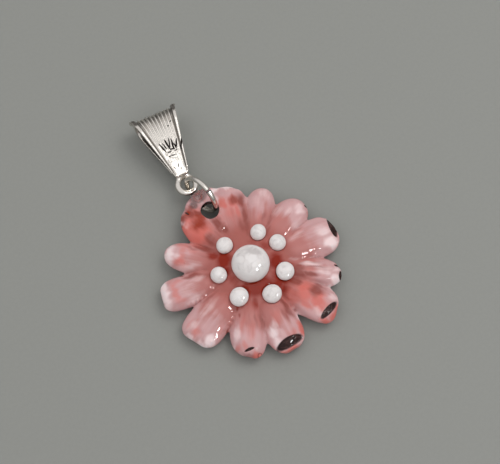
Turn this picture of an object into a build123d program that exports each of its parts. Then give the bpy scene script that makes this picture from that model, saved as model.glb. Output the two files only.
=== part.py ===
from build123d import *
import os
from math import asin, atan2, cos, hypot, radians, sin, tan

# A pressed glass flower on a jump ring and a ribbed, tapered bail, lying on its back.
# The origin is the flower's centre on the surface that it rests on. +Z comes out of the flower's face, and +Y
# runs from its centre to the hole that it hangs by. Lengths are millimetres, directions are degrees
# anticlockwise from +X.

# Glass flower: the petals and the hub
petal_reach = 17.0          # from the flower's centre to the tip of a petal
petal_width = 7.4
petal_thickness = 3.4
tip_lift = 1.2              # underside of a petal's tip above the surface
shoulder_start = 0.68       # share of the reach where the rounding of the tip begins
tip_share = 0.994           # how much of the rounding the last section keeps, so that it has a width
edge_round = 0.30           # radius of a petal's long edges, as a share of its thickness
crown_limit = 0.95          # a narrow petal gets rounder edges, so that its crown stays inside its width
hub_radius = 10.5
hub_edge = 1.0              # height of the hub's rim on its underside
hub_edge_sag = 0.32         # height halfway up the underside's slope, as a share of hub_edge
hub_shoulder = 2.4          # height of the hub's rim on its upper side
hub_face_place = 0.6        # share of the hub's radius where its face has sunk by the next share
hub_face_drop = 0.36        # share of the drop from the centre to the shoulder
centre_height = 5.1
foot_radius = 6.0           # flat back that the flower rests on

# Glass flower: the hole that it hangs by and the clear glass around it
hole_radius = 1.65
hole_place = 0.77           # share of a petal's reach from the flower's centre to the hole's
eyelet_wall = 2.95          # clear glass from the hole to the eyelet's outer edge
eyelet_low = 2.05
eyelet_thickness = 1.9
eyelet_round = 0.42         # rounding of the eyelet's edges, as a share of its thickness
mouth_depth = 0.25          # the hole widens towards the back from this far above the eyelet's underside
mouth_slope = 38.0          # of the widened mouth, off the hole's axis

# White glass: the domed centre and the raised dots
dome_radius = 3.45
dome_rise = 2.7             # from the dome's widest line to its top
dome_stand = 0.3            # the widest line above the flower's face
dot_radius = 1.65
dot_rise = 1.2
dot_stand = 0.25
seat_depth = 0.6            # how deep the white glass is set into the flower
melt_gap = 0.03             # clearance around the white glass in its socket

# Metal: the jump ring, which goes round the eyelet's wall and the wire of the bail's ring
jump_wire = 1.0
jump_play = 2.25            # room left across the inside of the ring
jump_turn = 101.0           # direction of its width, towards the bail
jump_lean = 10.0            # off upright, towards the right-hand side of that direction
jump_side = -5.0            # the wire stands at this side of the hole
jump_hole_gap = 0.40        # between the wire and the hole's wall there
jump_floor_gap = 0.03
jump_slit = 0.12            # where the ends of the wire meet
jump_slit_place = 113.0     # angle around the ring from the bail's side

# Metal: the bail, a band folded over with a ring soldered to its narrow end
bail_turn = 81.3            # direction from its ring to its fold
bail_side = 83.7            # direction from the jump ring's wire to the centre of the bail's ring
bail_ring_gap = 0.35        # between the jump ring's wire and the inside of the bail's ring
bail_length = 15.5          # from the ring's centre to the outside of the fold
bail_width = 8.4            # across the fold, inside the border ridges' outer edges
bail_neck_width = 2.5
bail_thickness = 5.8        # across the fold, with the ribs of its upper side
band_wall = 0.8
solder_length = 0.8         # where the two leaves are closed together
bail_ring_wire = 1.05
bail_ring_radius = 1.68     # to the middle of the wire
neck_overlap = 0.4          # how far the neck reaches into the ring's wire
rib_count = 9
rib_height = 0.22
rib_fill = 0.58             # share of the pitch that a rib takes
rib_field = 0.82            # share of the width that the ribs cover
border_height = 0.38
border_share = 0.09         # width of a border ridge as a share of the half width

# One row for each petal, clockwise from the hole. Direction and skew are in degrees. Reach, width, lift and
# thick are shares of petal_reach, petal_width, tip_lift and petal_thickness. Blunt is the exponent that squares
# the tip off.
# direction, reach, width, blunt, skew, lift, thick
PETALS = (
    (73.5, 0.955, 1.02, 2.8, -13.0, 1.75, 0.85),
    (47.3, 0.932, 0.79, 2.3, 0.0, 1.1, 1.00),
    (20.5, 0.950, 0.92, 2.2, 2.0, 1.0, 1.00),
    (352.0, 1.015, 1.03, 3.2, 0.0, 1.0, 1.00),
    (322.5, 0.965, 0.79, 2.4, 6.0, 1.0, 0.96),
    (298.3, 1.015, 0.95, 3.2, 9.0, 0.9, 1.00),
    (262.8, 0.978, 0.95, 2.9, 2.0, 0.8, 1.02),
    (234.0, 0.950, 0.93, 2.7, -13.0, 0.8, 1.00),
    (198.5, 0.982, 1.04, 3.8, 6.0, 0.8, 1.04),
    (165.0, 0.985, 0.84, 4.2, -3.0, 1.0, 1.00),
    (135.2, 0.933, 0.78, 2.2, 0.0, 1.2, 0.96),
    (104.5, 0.950, 0.90, 2.2, 6.0, 1.75, 0.85),
)

# Sections along a petal, as shares: place of its reach, width of its width, underside of its lift and depth of
# its thickness. The rounding of the tip narrows the last ones further.
# along, spread, rise, depth
PETAL_SECTIONS = (
    (0.20, 0.80, 0.20, 0.95),
    (0.44, 0.90, 0.35, 1.14),
    (0.66, 1.00, 0.65, 1.03),
    (0.82, 1.00, 0.95, 0.85),
    (0.93, 1.00, 1.15, 0.62),
    (0.98, 1.00, 1.35, 0.38),
    (1.00, 1.00, 1.50, 0.14),
)

# Sizes that follow from the ones above
hole_distance = hole_place * petal_reach
eyelet_high = eyelet_low + eyelet_thickness
jump_radius = 0.5 * (eyelet_wall + bail_ring_wire + jump_play + jump_wire)
neck_along = bail_ring_radius + 0.5 * bail_ring_wire - neck_overlap
band_radius = 0.5 * (bail_thickness - rib_height)
fold_centre = bail_length - rib_height - band_radius

# One row for each dot, clockwise from the hole. Distance is a share of the dome's radius, and the two widths
# are shares of the dot's radius, along and across the line to the flower's centre.
# direction, distance, along, across
DOTS = (
    (43.2, 1.85, 0.96, 0.88),
    (7.4, 1.88, 0.94, 0.94),
    (315.3, 1.81, 1.02, 1.05),
    (271.2, 1.89, 1.05, 1.08),
    (216.5, 1.80, 1.10, 1.04),
    (163.6, 1.73, 0.92, 0.94),
    (107.0, 1.73, 0.92, 0.95),
)


def heading(direction):
    """Unit vector in the ground plane."""
    return Vector(cos(radians(direction)), sin(radians(direction)), 0)


def tip_rounding(along, blunt):
    """Share of the full width that a petal keeps near its tip."""
    if along <= shoulder_start:
        return 1.0
    into_tip = tip_share * (along - shoulder_start) / (1 - shoulder_start)
    return (1 - into_tip**blunt) ** (1 / blunt)


def petal_section(direction, turned, distance, half_width, low, high):
    """A crowned section with round edges, standing across the petal at a distance from the centre.

    The crown, the round edges and the flat underside meet tangentially.
    """
    thickness = high - low
    edge = max(edge_round * thickness, thickness - crown_limit * half_width)
    inset = half_width - edge
    above = thickness - edge
    crown = (inset**2 + above**2 - edge**2) / (2 * (above - edge))
    crown_centre = high - crown
    reach = crown / hypot(inset, low + edge - crown_centre)
    touch = (inset * reach, crown_centre + (low + edge - crown_centre) * reach)
    mirrored = (-touch[0], touch[1])
    outline = [
        Line((-inset, low), (inset, low)),
        ThreePointArc((inset, low), (half_width, low + edge), touch),
        ThreePointArc(touch, (0, high), mirrored),
        ThreePointArc(mirrored, (-half_width, low + edge), (-inset, low)),
    ]
    across = heading(turned + 90)
    plane = Plane(origin=heading(direction) * distance, x_dir=across, z_dir=heading(turned))
    return plane * make_face(outline)


def make_petal(direction, reach, width, blunt, skew, lift, thick):
    """One petal, lofted from inside the hub to its tip. Skew turns the sections more towards the tip."""
    sections = []
    for along, spread, rise, depth in PETAL_SECTIONS:
        half_width = 0.5 * petal_width * width * spread * tip_rounding(along, blunt)
        low = tip_lift * lift * rise
        sections.append(petal_section(
            direction,
            direction + skew * along**3,
            petal_reach * reach * along,
            half_width,
            low,
            low + petal_thickness * thick * depth,
        ))
    return loft(sections)


def make_hub():
    """The glass that carries the petals, with the flat back that the flower rests on."""
    outline = [
        Line((0, 0), (foot_radius, 0)),
        ThreePointArc(
            (foot_radius, 0),
            (0.5 * (foot_radius + hub_radius), hub_edge_sag * hub_edge),
            (hub_radius, hub_edge),
        ),
        Line((hub_radius, hub_edge), (hub_radius, hub_shoulder)),
        ThreePointArc(
            (hub_radius, hub_shoulder),
            (hub_face_place * hub_radius, centre_height - hub_face_drop * (centre_height - hub_shoulder)),
            (0, centre_height),
        ),
        Line((0, centre_height), (0, 0)),
    ]
    return revolve(Plane.XZ * make_face(outline), Axis.Z)


def make_eyelet():
    """The rounded pad of clear glass around the hole, and the hole's cutter."""
    place = Pos(0, hole_distance, 0)
    pad = Pos(0, 0, eyelet_low) * extrude(Circle(hole_radius + eyelet_wall), amount=eyelet_thickness)
    pad = fillet(pad.edges(), eyelet_round * eyelet_thickness)
    mouth_height = eyelet_low + mouth_depth
    mouth_radius = hole_radius + mouth_height * tan(radians(mouth_slope))
    mouth = Cone(mouth_radius, hole_radius, mouth_height, align=(Align.CENTER, Align.CENTER, Align.MIN))
    cutter = extrude(Circle(hole_radius), amount=2 * centre_height) + mouth
    return place * pad, place * cutter


def white_glass(radius_x, radius_y, rise, stand, face, grow=0.0):
    """A flattened ball whose foot is cut flat at its seat, grown all round by a clearance for its socket."""
    ball = scale(Sphere(1.0), by=(radius_x + grow, radius_y + grow, rise + grow))
    widest = face + stand
    seat = face - seat_depth
    keep = Pos(0, 0, seat) * Box(
        4 * radius_x, 4 * radius_y, 4 * rise, align=(Align.CENTER, Align.CENTER, Align.MIN)
    )
    return (Pos(0, 0, widest) * ball) & keep


def dot_place(direction, distance):
    return Pos(*(heading(direction) * distance)) * Rot(0, 0, direction)


def ring_height():
    """Height of the jump ring's centre, with the wire just clear of the surface."""
    return jump_radius * cos(radians(jump_lean)) + 0.5 * jump_wire + jump_floor_gap


def ring_crossing(height, side):
    """Where the middle of the wire passes a height, from the ring's centre: side is 1 towards the bail."""
    rise = (height - ring_height()) / cos(radians(jump_lean))
    run = (jump_radius**2 - rise**2) ** 0.5
    return heading(jump_turn) * (side * run) + heading(jump_turn - 90) * (rise * sin(radians(jump_lean)))


def ring_centre():
    """The jump ring's centre on the ground plane, which puts its wire beside the wall of the hole."""
    in_hole = hole_radius - 0.5 * jump_wire - jump_hole_gap
    wire = Vector(0, hole_distance, 0) + heading(jump_side) * in_hole
    return wire - ring_crossing(0.5 * (eyelet_low + eyelet_high), -1)


def make_jump_ring():
    """A wire ring that stands almost upright, with a slit where its ends meet."""
    ring = Torus(jump_radius, 0.5 * jump_wire)
    slit = Rot(0, 0, jump_slit_place) * Pos(jump_radius, 0, 0) * Box(2 * jump_wire, jump_slit, 2 * jump_wire)
    ring -= slit
    width_way = heading(jump_turn)
    upright = heading(jump_turn - 90) * sin(radians(jump_lean)) + Vector(0, 0, 1) * cos(radians(jump_lean))
    centre = ring_centre() + Vector(0, 0, ring_height())
    return Plane(origin=centre, x_dir=width_way, z_dir=width_way.cross(upright)) * ring


def fold_outline(fold_radius, neck_half):
    """Side view of a folded band: two straight leaves, tangent to the round fold."""
    run = fold_centre - neck_along
    slope = asin(fold_radius / hypot(run, neck_half)) - atan2(neck_half, run)
    touch_along = fold_centre - fold_radius * sin(slope)
    touch_high = fold_radius * cos(slope)
    return make_face([
        Line((neck_along, -neck_half), (touch_along, -touch_high)),
        ThreePointArc(
            (touch_along, -touch_high), (fold_centre + fold_radius, 0), (touch_along, touch_high)
        ),
        Line((touch_along, touch_high), (neck_along, neck_half)),
        Line((neck_along, neck_half), (neck_along, -neck_half)),
    ])


def fold_channel(fold_radius, meet_along):
    """Side view of the hollow inside the fold: a drop shape that closes to a line where the leaves meet."""
    slope = asin(fold_radius / (fold_centre - meet_along))
    touch_along = fold_centre - fold_radius * sin(slope)
    touch_high = fold_radius * cos(slope)
    return make_face([
        Line((meet_along, 0), (touch_along, -touch_high)),
        ThreePointArc(
            (touch_along, -touch_high), (fold_centre + fold_radius, 0), (touch_along, touch_high)
        ),
        Line((touch_along, touch_high), (meet_along, 0)),
    ])


def across_bail(side_view):
    """Side view in length and height, extruded across the whole width of the bail."""
    side_plane = Plane(origin=(0, 0, 0), x_dir=(0, 1, 0), z_dir=(1, 0, 0))
    return extrude(side_plane * side_view, amount=bail_width, both=True)


def fan_prism(start_share, end_share, low, high):
    """An upright prism between two shares of the band's half width, which widens from neck to fold."""
    far_along = bail_length + bail_thickness
    widening = (bail_width - bail_neck_width) / (bail_length - neck_along)
    far_width = bail_neck_width + widening * (far_along - neck_along)
    corners = [
        (0.5 * bail_neck_width * start_share, neck_along),
        (0.5 * far_width * start_share, far_along),
        (0.5 * far_width * end_share, far_along),
        (0.5 * bail_neck_width * end_share, neck_along),
    ]
    return Pos(0, 0, low) * extrude(make_face(Polyline(*corners, close=True)), amount=high - low)


def raised_on(outer, height):
    """A skin of the given height all round the band, to cut ribs and borders from."""
    return across_bail(fold_outline(band_radius + height, band_wall + height)) - outer


def make_bail():
    """The folded band with its ribs, its border ridges and the ring at its neck."""
    outer = across_bail(fold_outline(band_radius, band_wall))
    hollow = across_bail(fold_channel(band_radius - band_wall, neck_along + solder_length))
    band = (outer & fan_prism(-1, 1, -bail_thickness, bail_thickness)) - hollow

    ribbed = raised_on(outer, rib_height)
    bordered = raised_on(outer, border_height)
    pitch = 2 * rib_field / rib_count
    raised = []
    for rib in range(rib_count):
        middle = (rib + 0.5) * pitch - rib_field
        half_rib = 0.5 * rib_fill * pitch
        raised.append(ribbed & fan_prism(middle - half_rib, middle + half_rib, 0, bail_thickness))
    for side in (-1, 1):
        inner_edge = side * (1 - border_share)
        outer_edge = side * (1 + border_share)
        raised.append(bordered & fan_prism(inner_edge, outer_edge, 0, bail_thickness))
    ring = Torus(bail_ring_radius, 0.5 * bail_ring_wire)
    bail = band.fuse(ring, *raised)

    wire = ring_centre() + ring_crossing(band_radius, 1)
    in_ring = bail_ring_radius - 0.5 * bail_ring_wire - 0.5 * jump_wire - bail_ring_gap
    centre = wire + heading(bail_side) * in_ring + Vector(0, 0, band_radius)
    return Plane(origin=centre, x_dir=heading(bail_turn - 90), z_dir=(0, 0, 1)) * bail


def face_height(glass, place):
    """Height of the flower's face at a place."""
    probe = place * Cylinder(0.5 * seat_depth, 4 * centre_height)
    return (glass & probe).bounding_box().max.Z


def make_glass():
    """The flower, and the white glass set into it: sockets and pieces share their sizes and places."""
    pad, hole = make_eyelet()
    glass = make_hub().fuse(*[make_petal(*row) for row in PETALS], pad)
    white = {"centre_dome": (Pos(0, 0, 0), (dome_radius, dome_radius, dome_rise, dome_stand, centre_height))}
    for number, (direction, distance, along, across) in enumerate(DOTS, start=1):
        place = dot_place(direction, distance * dome_radius)
        face = face_height(glass, place)
        white[f"dot_{number}"] = (place, (dot_radius * along, dot_radius * across, dot_rise, dot_stand, face))
    sockets = [place * white_glass(*shape, melt_gap) for place, shape in white.values()]
    pieces = {"flower": glass.cut(hole, *sockets)}
    for node, (place, shape) in white.items():
        pieces[node] = place * white_glass(*shape)
    return pieces


pieces = make_glass()
pieces["jump_ring"] = make_jump_ring()
pieces["bail"] = make_bail()
os.makedirs("parts", exist_ok=True)
for node, solid in pieces.items():
    export_step(solid, f"parts/{node}.step")
    print(node, round(solid.volume, 3))
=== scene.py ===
import math

import bmesh
import bpy
import numpy as np
from mathutils import Matrix, Vector, noise


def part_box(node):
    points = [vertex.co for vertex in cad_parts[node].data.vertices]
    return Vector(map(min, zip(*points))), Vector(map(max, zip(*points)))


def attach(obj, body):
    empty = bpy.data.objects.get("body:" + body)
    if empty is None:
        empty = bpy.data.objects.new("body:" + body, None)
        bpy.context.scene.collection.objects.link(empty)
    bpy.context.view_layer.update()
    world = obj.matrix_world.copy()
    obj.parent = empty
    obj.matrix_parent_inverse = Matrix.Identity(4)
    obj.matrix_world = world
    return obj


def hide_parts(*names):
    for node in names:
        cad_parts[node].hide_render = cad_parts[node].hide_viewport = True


bl_info = {
    "name": "Glass flower pendant",
    "version": (1, 0, 0),
    "blender": (4, 5, 0),
    "location": "View3D > Sidebar > Pendant",
    "description": "Dresses the frame of a pressed glass flower pendant on its jump ring and bail",
    "category": "Add Mesh",
}

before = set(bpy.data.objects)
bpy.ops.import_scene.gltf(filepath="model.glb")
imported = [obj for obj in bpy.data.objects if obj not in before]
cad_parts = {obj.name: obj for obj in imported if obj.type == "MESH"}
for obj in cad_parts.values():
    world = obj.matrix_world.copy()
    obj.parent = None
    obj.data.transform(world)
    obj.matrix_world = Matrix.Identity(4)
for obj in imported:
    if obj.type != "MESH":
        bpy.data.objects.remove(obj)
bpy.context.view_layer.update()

MM = 0.001
WELD = 1e-7

# The petals, clockwise from the hole: direction in degrees from +X, and half width in millimetres
PETALS = (
    (73.5, 3.77), (47.3, 2.92), (20.5, 3.4), (352, 3.81), (322.5, 2.92), (298.3, 3.52), (262.8, 3.52),
    (234, 3.44), (198.5, 3.85), (165, 3.11), (135.2, 2.89), (104.5, 3.33),
)

# Marks in the glass: direction in degrees and distance in millimetres from the flower's centre, half length
# along that direction, half width across it, turn in degrees, and strength. Coral streaks and patches first
CORAL = (
    (70, 12.6, 1.4, 1.2, 0, 0.9), (288, 9.0, 2.0, 1.5, 0, 0.6), (75, 11.8, 2.6, 2.4, 0, 0.55),
    (79, 12.9, 1.6, 0.8, 0, 0.9), (68, 11.0, 2.2, 0.5, 0, 0.7), (67, 12.3, 1.2, 1.2, 0, 0.7),
    (27, 9.8, 2.2, 0.8, 0, 0.4), (46, 9.6, 1.6, 0.8, 0, 0.35), (3, 10.4, 1.9, 0.6, 0, 0.3),
    (322, 11.0, 1.8, 0.4, 0, 0.4), (299, 10.8, 2.2, 2.4, 0, 0.85), (298, 13.4, 1.6, 1.8, 0, 0.9),
    (296, 14.2, 1.6, 1.8, 0, 0.75), (290, 11.6, 2.0, 0.8, 0, 0.7), (288.5, 16.9, 1.3, 0.8, 0, 1.0),
    (297, 17.2, 0.8, 2.4, 0, 1.0), (259.5, 16.9, 0.8, 3.2, 0, 1.0), (275, 14.8, 2.0, 0.7, 0, 1.0),
    (262, 10.6, 1.8, 1.2, 0, 0.5), (267, 14.2, 1.2, 1.1, 0, 0.5), (251, 16.0, 1.0, 0.45, 0, 0.9),
    (240, 16.2, 0.9, 1.4, 0, 1.0), (233, 16.8, 0.5, 2.4, 0, 0.8), (231, 14.4, 1.0, 0.8, 0, 0.5),
    (226.5, 15.4, 1.2, 0.8, 0, 0.6), (228, 11.0, 2.0, 0.8, 0, 0.45), (236, 12.0, 2.4, 1.0, 0, 0.4),
    (197, 15.2, 1.2, 1.2, 20, 0.55), (190, 14.6, 1.2, 0.8, 0, 0.45), (210, 13.0, 1.6, 0.6, 0, 0.45),
    (165, 14.1, 0.8, 2.8, 4, 0.6), (158, 13.4, 1.6, 0.6, 0, 0.5), (173, 13.6, 1.6, 0.5, 0, 0.45),
    (135, 12.6, 0.8, 2.4, 0, 0.5), (142, 12.8, 1.6, 0.9, 0, 0.75), (126.5, 12.6, 1.9, 0.7, 0, 0.55),
    (130, 10.8, 1.2, 0.9, 0, 0.4), (112, 11.6, 2.6, 2.4, 0, 1.0), (104, 13.8, 2.2, 2.4, 0, 0.9),
    (114, 13.6, 1.8, 1.4, 0, 0.95),
)
# Milky rims, tips and streaks
MILK = (
    (80, 16.0, 0.7, 1.2, 8, 0.9), (71.8, 15.9, 0.6, 1.8, -10, 0.85), (62.5, 15.4, 0.4, 1.0, -12, 0.55),
    (82, 14.2, 0.9, 0.5, 0, 0.6), (46, 14.2, 1.2, 1.6, 0, 0.4), (51, 12.6, 1.8, 0.8, 0, 0.3),
    (17, 14.2, 1.1, 1.3, 0, 0.6), (22, 12.8, 1.5, 0.8, 0, 0.45), (10, 11.6, 2.4, 0.6, 0, 0.35),
    (343.5, 15.2, 1.3, 1.0, 0, 0.95), (353, 14.8, 1.5, 1.2, 0, 0.65), (349, 11.6, 2.6, 0.9, 0, 0.25),
    (322, 13.6, 1.8, 0.9, 0, 0.6), (317.5, 15.4, 1.0, 1.1, 0, 0.9), (324, 15.4, 0.8, 0.6, 0, 0.6),
    (290.5, 14.4, 1.3, 0.8, 0, 0.55), (304.5, 15.8, 1.0, 0.8, 0, 0.6), (254, 12.8, 1.4, 0.9, 0, 0.85),
    (254.5, 14.4, 1.2, 0.8, 0, 0.75), (259, 13.6, 1.2, 2.0, 0, 0.3), (224.5, 12.6, 1.5, 0.7, 0, 0.65),
    (202.5, 16.6, 0.5, 3.2, 0, 0.8), (207, 15.4, 1.2, 0.9, 0, 0.95), (198, 12.0, 2.6, 1.6, 0, 0.25),
    (162, 16.1, 0.9, 3.2, 2, 1.0), (166, 11.4, 2.0, 1.4, 0, 0.35), (136.5, 14.8, 1.0, 2.0, 0, 0.9),
    (134, 11.4, 1.2, 1.2, 0, 0.2), (112, 15.0, 1.0, 0.5, 0, 0.45), (192, 11.2, 2.6, 1.0, 0, 0.46),
    (145, 11.6, 2.6, 0.8, 0, 0.52), (0, 9.8, 2.0, 0.8, 0, 0.46), (32, 11.8, 1.5, 0.9, 0, 0.46),
    (328, 10.6, 1.8, 0.5, 0, 0.68), (256, 11.5, 1.2, 0.8, 0, 0.62), (176, 11.2, 1.6, 0.7, 0, 0.42),
    (160, 10.0, 1.6, 0.8, 0, 0.42), (280, 12.4, 1.0, 0.6, 0, 0.6), (312, 14.8, 0.8, 0.5, 0, 0.6),
    (336, 8.0, 1.2, 0.5, 0, 0.42), (137, 13.6, 0.8, 0.9, 0, 0.55), (112, 13.7, 0.9, 0.6, 0, 0.4),
    (192, 14.6, 1.2, 0.8, 0, 0.5), (223, 14.8, 0.8, 0.6, 0, 0.55),
)
# Dusky red-brown marks; those along the creases between petals are partly painted shade
WINE_AND_CREASE_SHADE = (
    (62, 10.0, 2.6, 0.6, 0, 0.8), (67, 8.0, 1.6, 0.9, 0, 0.7), (89, 8.6, 1.6, 0.6, 0, 0.75),
    (63.5, 12.7, 1.7, 1.0, 0, 0.95), (68.5, 12.9, 1.2, 1.2, 0, 0.8), (80, 13.0, 0.9, 0.4, 0, 0.35),
    (35, 9.4, 2.2, 0.5, 0, 0.55), (61, 7.8, 2.0, 0.7, 0, 0.7), (42, 9.8, 1.6, 0.6, 0, 0.6),
    (31, 7.4, 1.6, 0.6, 0, 0.55), (341, 7.0, 1.6, 0.4, 0, 0.35), (5, 10.6, 1.8, 0.4, 0, 0.45),
    (338, 10.0, 1.8, 0.6, 0, 0.5), (316, 8.8, 1.8, 1.2, 0, 0.85), (322, 8.6, 1.6, 0.9, 0, 0.8),
    (318, 10.9, 1.9, 0.4, 0, 0.9), (329, 10.4, 2.4, 0.22, 0, 0.6), (325, 11.8, 2.4, 0.2, 0, 0.6),
    (313, 12.6, 1.8, 0.5, 0, 0.6), (306, 8.4, 1.2, 1.1, 0, 0.85), (305, 12.7, 1.5, 1.4, 10, 0.85),
    (309.5, 12.8, 1.4, 0.5, 0, 0.7), (284, 8.6, 1.6, 0.7, 0, 0.35), (276, 9.4, 2.2, 0.6, 0, 0.8),
    (270, 10.8, 1.6, 0.5, 0, 0.6), (274.5, 10.8, 1.6, 0.6, 0, 0.75), (248, 8.8, 1.6, 0.7, 0, 0.5),
    (246, 10.6, 2.2, 0.6, 0, 0.65), (240.5, 10.0, 1.9, 0.4, 0, 0.5), (235, 9.6, 2.0, 0.3, 0, 0.4),
    (229, 9.6, 1.8, 0.3, 0, 0.35), (234, 15.9, 0.5, 1.0, 0, 0.6), (214, 8.8, 1.8, 0.6, 0, 0.45),
    (184, 9.6, 2.2, 0.5, 0, 0.55), (199, 14.7, 1.0, 0.9, 20, 0.4), (155, 10.4, 1.9, 0.5, 0, 0.8),
    (159, 8.2, 1.2, 0.7, 0, 0.5), (178, 8.4, 1.5, 0.5, 0, 0.45), (88, 11.2, 1.0, 0.7, 0, 0.6),
    # The narrow marks at 216 and 152 degrees are painted shade in the gaps between petals
    (112, 14.9, 0.35, 1.4, 0, 0.8), (216, 12.6, 0.9, 0.25, 0, 1.0), (152, 12.6, 0.8, 0.25, 0, 0.9),
    (123, 8.8, 1.9, 0.7, 0, 0.9), (127, 10.9, 1.6, 0.4, 0, 0.55), (133, 8.4, 1.2, 0.5, 0, 0.4),
    (111, 8.7, 1.5, 1.3, 0, 0.85), (92, 10.0, 2.0, 0.8, 0, 0.95), (100, 13.8, 1.4, 0.7, 0, 0.9),
    (108, 12.9, 1.2, 0.5, -10, 0.6), (104, 14.8, 1.5, 1.1, 0, 1.0), (108.5, 15.3, 1.0, 0.8, 0, 0.9),
    (100.5, 15.5, 0.9, 0.9, 0, 0.8), (99, 8.6, 1.2, 0.6, 0, 0.45),
)
# Red glass round the dome, and orange glass beside the hole
EMBER = (
    (334, 4.7, 1.3, 1.9, 0, 0.88), (348, 6.9, 1.0, 0.7, 0, 0.2), (327, 6.6, 1.3, 0.7, 0, 0.6),
    (305, 6.0, 1.9, 1.9, 0, 0.85), (289, 6.3, 2.3, 1.4, 0, 0.8), (291, 8.9, 1.7, 1.2, 0, 0.4),
    (268, 4.5, 1.4, 2.0, 0, 1.0), (247, 4.4, 1.5, 1.9, 0, 1.0), (252, 3.4, 1.0, 1.6, 0, 1.0),
    (243, 6.9, 1.4, 0.8, 0, 0.6), (228, 4.3, 1.0, 1.4, 0, 0.85), (190, 4.2, 0.9, 1.8, 0, 0.5),
    (160, 4.6, 1.0, 1.3, 0, 0.75), (134, 4.9, 1.3, 1.8, 0, 1.0), (130, 6.9, 1.4, 0.8, 0, 0.7),
    (105, 4.8, 0.8, 1.5, 0, 0.4), (20, 4.6, 1.0, 1.5, 0, 0.6), (50, 4.4, 0.7, 1.3, 0, 0.35),
    (105, 12.3, 1.6, 1.6, 0, 0.7), (99.5, 12.4, 0.8, 0.6, 0, 0.6), (101.5, 13.4, 0.8, 0.5, 20, 0.5),
    (104.5, 15.2, 0.5, 0.6, 0, 0.8), (217, 7.9, 0.6, 0.3, 0, 0.65), (222, 8.9, 0.5, 0.3, 0, 0.5),
)
# Dark cut facets near the tips, coloured as a painted dark reflection, and small dark flaws
DARK_REFLECTIONS_AND_FLAWS = (
    (353.6, 16.85, 0.62, 2.15, -8, 1.0), (327.8, 15.5, 0.5, 0.26, 0, 1.0), (320.9, 16.2, 0.26, 0.85, 0, 1.0),
    (296, 16.0, 0.6, 2.15, -13, 1.0), (262, 15.35, 0.86, 2.6, 3, 1.0), (234.7, 15.1, 0.24, 0.95, 20, 1.0),
    (14.8, 15.9, 0.3, 0.6, 30, 1.0), (104.6, 15.3, 0.55, 0.2, 8, 0.85), (215, 7.6, 0.25, 0.35, 0, 0.5),
)
# Clear glass beyond the hole
CLEAR = ((91, 16.6, 1.5, 1.9, 0, 1.0), (93, 18.2, 1.6, 3.2, 0, 1.0), (97, 15.6, 1.0, 0.9, 0, 0.8))
# Grooves round two larger bubbles: direction, distance, radius, strength
BUBBLE_RINGS = ((91.5, 16.4, 0.66, 1.0), (241.6, 16.1, 0.40, 0.8))
# Small bubbles that swell the surface: direction, distance, radius
BUBBLES = (
    (293.8, 16.0, 0.24), (296.8, 16.3, 0.26), (299.6, 16.5, 0.2), (266, 15.4, 0.2), (177.2, 13.0, 0.26),
    (177.8, 12.2, 0.32), (178.6, 11.3, 0.3), (179.4, 10.5, 0.26), (179, 9.7, 0.2), (281, 10.6, 0.28),
    (280.2, 11.6, 0.22), (216, 10.8, 0.3), (217.2, 9.9, 0.24), (215.4, 11.8, 0.22), (214.8, 8.8, 0.2),
    (337, 12.0, 0.26), (142, 11.7, 0.26), (209, 15.2, 0.3), (210.6, 15.4, 0.2), (122, 9.0, 0.22),
    (284.8, 9.0, 0.24), (218.5, 7.9, 0.24), (221, 8.4, 0.18), (241.6, 16.1, 0.24), (91.5, 16.4, 0.26),
)
# Shallow scoops pressed into the petals and the crests beside them: as the marks, with a depth in millimetres
SCOOPS = (
    (71, 13.4, 1.1, 1.7, 0, 0.28), (46, 12.2, 1.8, 0.9, 0, 0.16), (18, 12.6, 1.6, 1.1, 0, 0.22),
    (350, 14.4, 1.9, 1.5, 0, 0.32), (321, 12.6, 2.4, 0.6, 0, 0.22), (294, 13.4, 1.9, 1.3, 0, 0.32),
    (258, 13.0, 1.8, 1.5, 0, 0.26), (235, 12.2, 2.3, 1.1, 0, 0.2), (200, 14.0, 1.7, 2.0, 10, 0.3),
    (166, 12.4, 2.4, 1.3, 0, 0.24), (107, 12.2, 1.2, 1.4, 0, 0.3), (139, 10.2, 1.8, 0.9, 0, 0.14),
)
CRESTS = (
    (70, 15.0, 0.4, 2.6, -8, 0.2), (358, 12.6, 2.6, 0.4, 4, 0.16), (342, 14.0, 2.4, 0.4, -4, 0.14),
    (192, 14.4, 2.2, 0.4, 6, 0.14), (172, 12.6, 2.4, 0.35, 0, 0.16), (268, 13.0, 2.2, 0.35, 0, 0.12),
    (286, 13.4, 2.0, 0.35, 0, 0.12), (326, 12.0, 2.6, 0.3, 0, 0.12),
)
# The hanging hole: the place of its centre and its radius in millimetres
HOLE = (0.0, 13.09, 1.65)
# Depth of the dark facets and height of their rims, in millimetres
FACET_DEPTH = 0.22
FACET_RIM = 0.10
# Heights of the long waves along the petals and of the fine unevenness, in millimetres
WAVE_HEIGHT = 0.10
FINE_HEIGHT = 0.035
# Height of a small bubble as a share of its radius, and depth and width of a bubble's groove in millimetres
BUBBLE_RISE = 0.7
BUBBLE_RING_DEPTH = 0.10
BUBBLE_RING_WIDTH = 0.20
# How far out the dusky heart fades, the outer glass begins and the tips begin, in millimetres
HEART = (5.2, 10.8)
OUTER = (8.5, 14.0)
TIPS = 10.0

# The white glass, with the dots clockwise from the hole: node, direction of its length, half length, half
# width and rise in millimetres, and how often its ball is divided
WHITE_BALLS = (
    ("centre_dome", 0.0, 3.45, 3.45, 2.7, 6),
    ("dot_1", 43.2, 1.584, 1.452, 1.2, 5),
    ("dot_2", 7.4, 1.551, 1.551, 1.2, 5),
    ("dot_3", 315.3, 1.683, 1.733, 1.2, 5),
    ("dot_4", 271.2, 1.733, 1.782, 1.2, 5),
    ("dot_5", 216.5, 1.815, 1.716, 1.2, 5),
    ("dot_6", 163.6, 1.518, 1.551, 1.2, 5),
    ("dot_7", 107.0, 1.518, 1.568, 1.2, 5),
)
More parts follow.
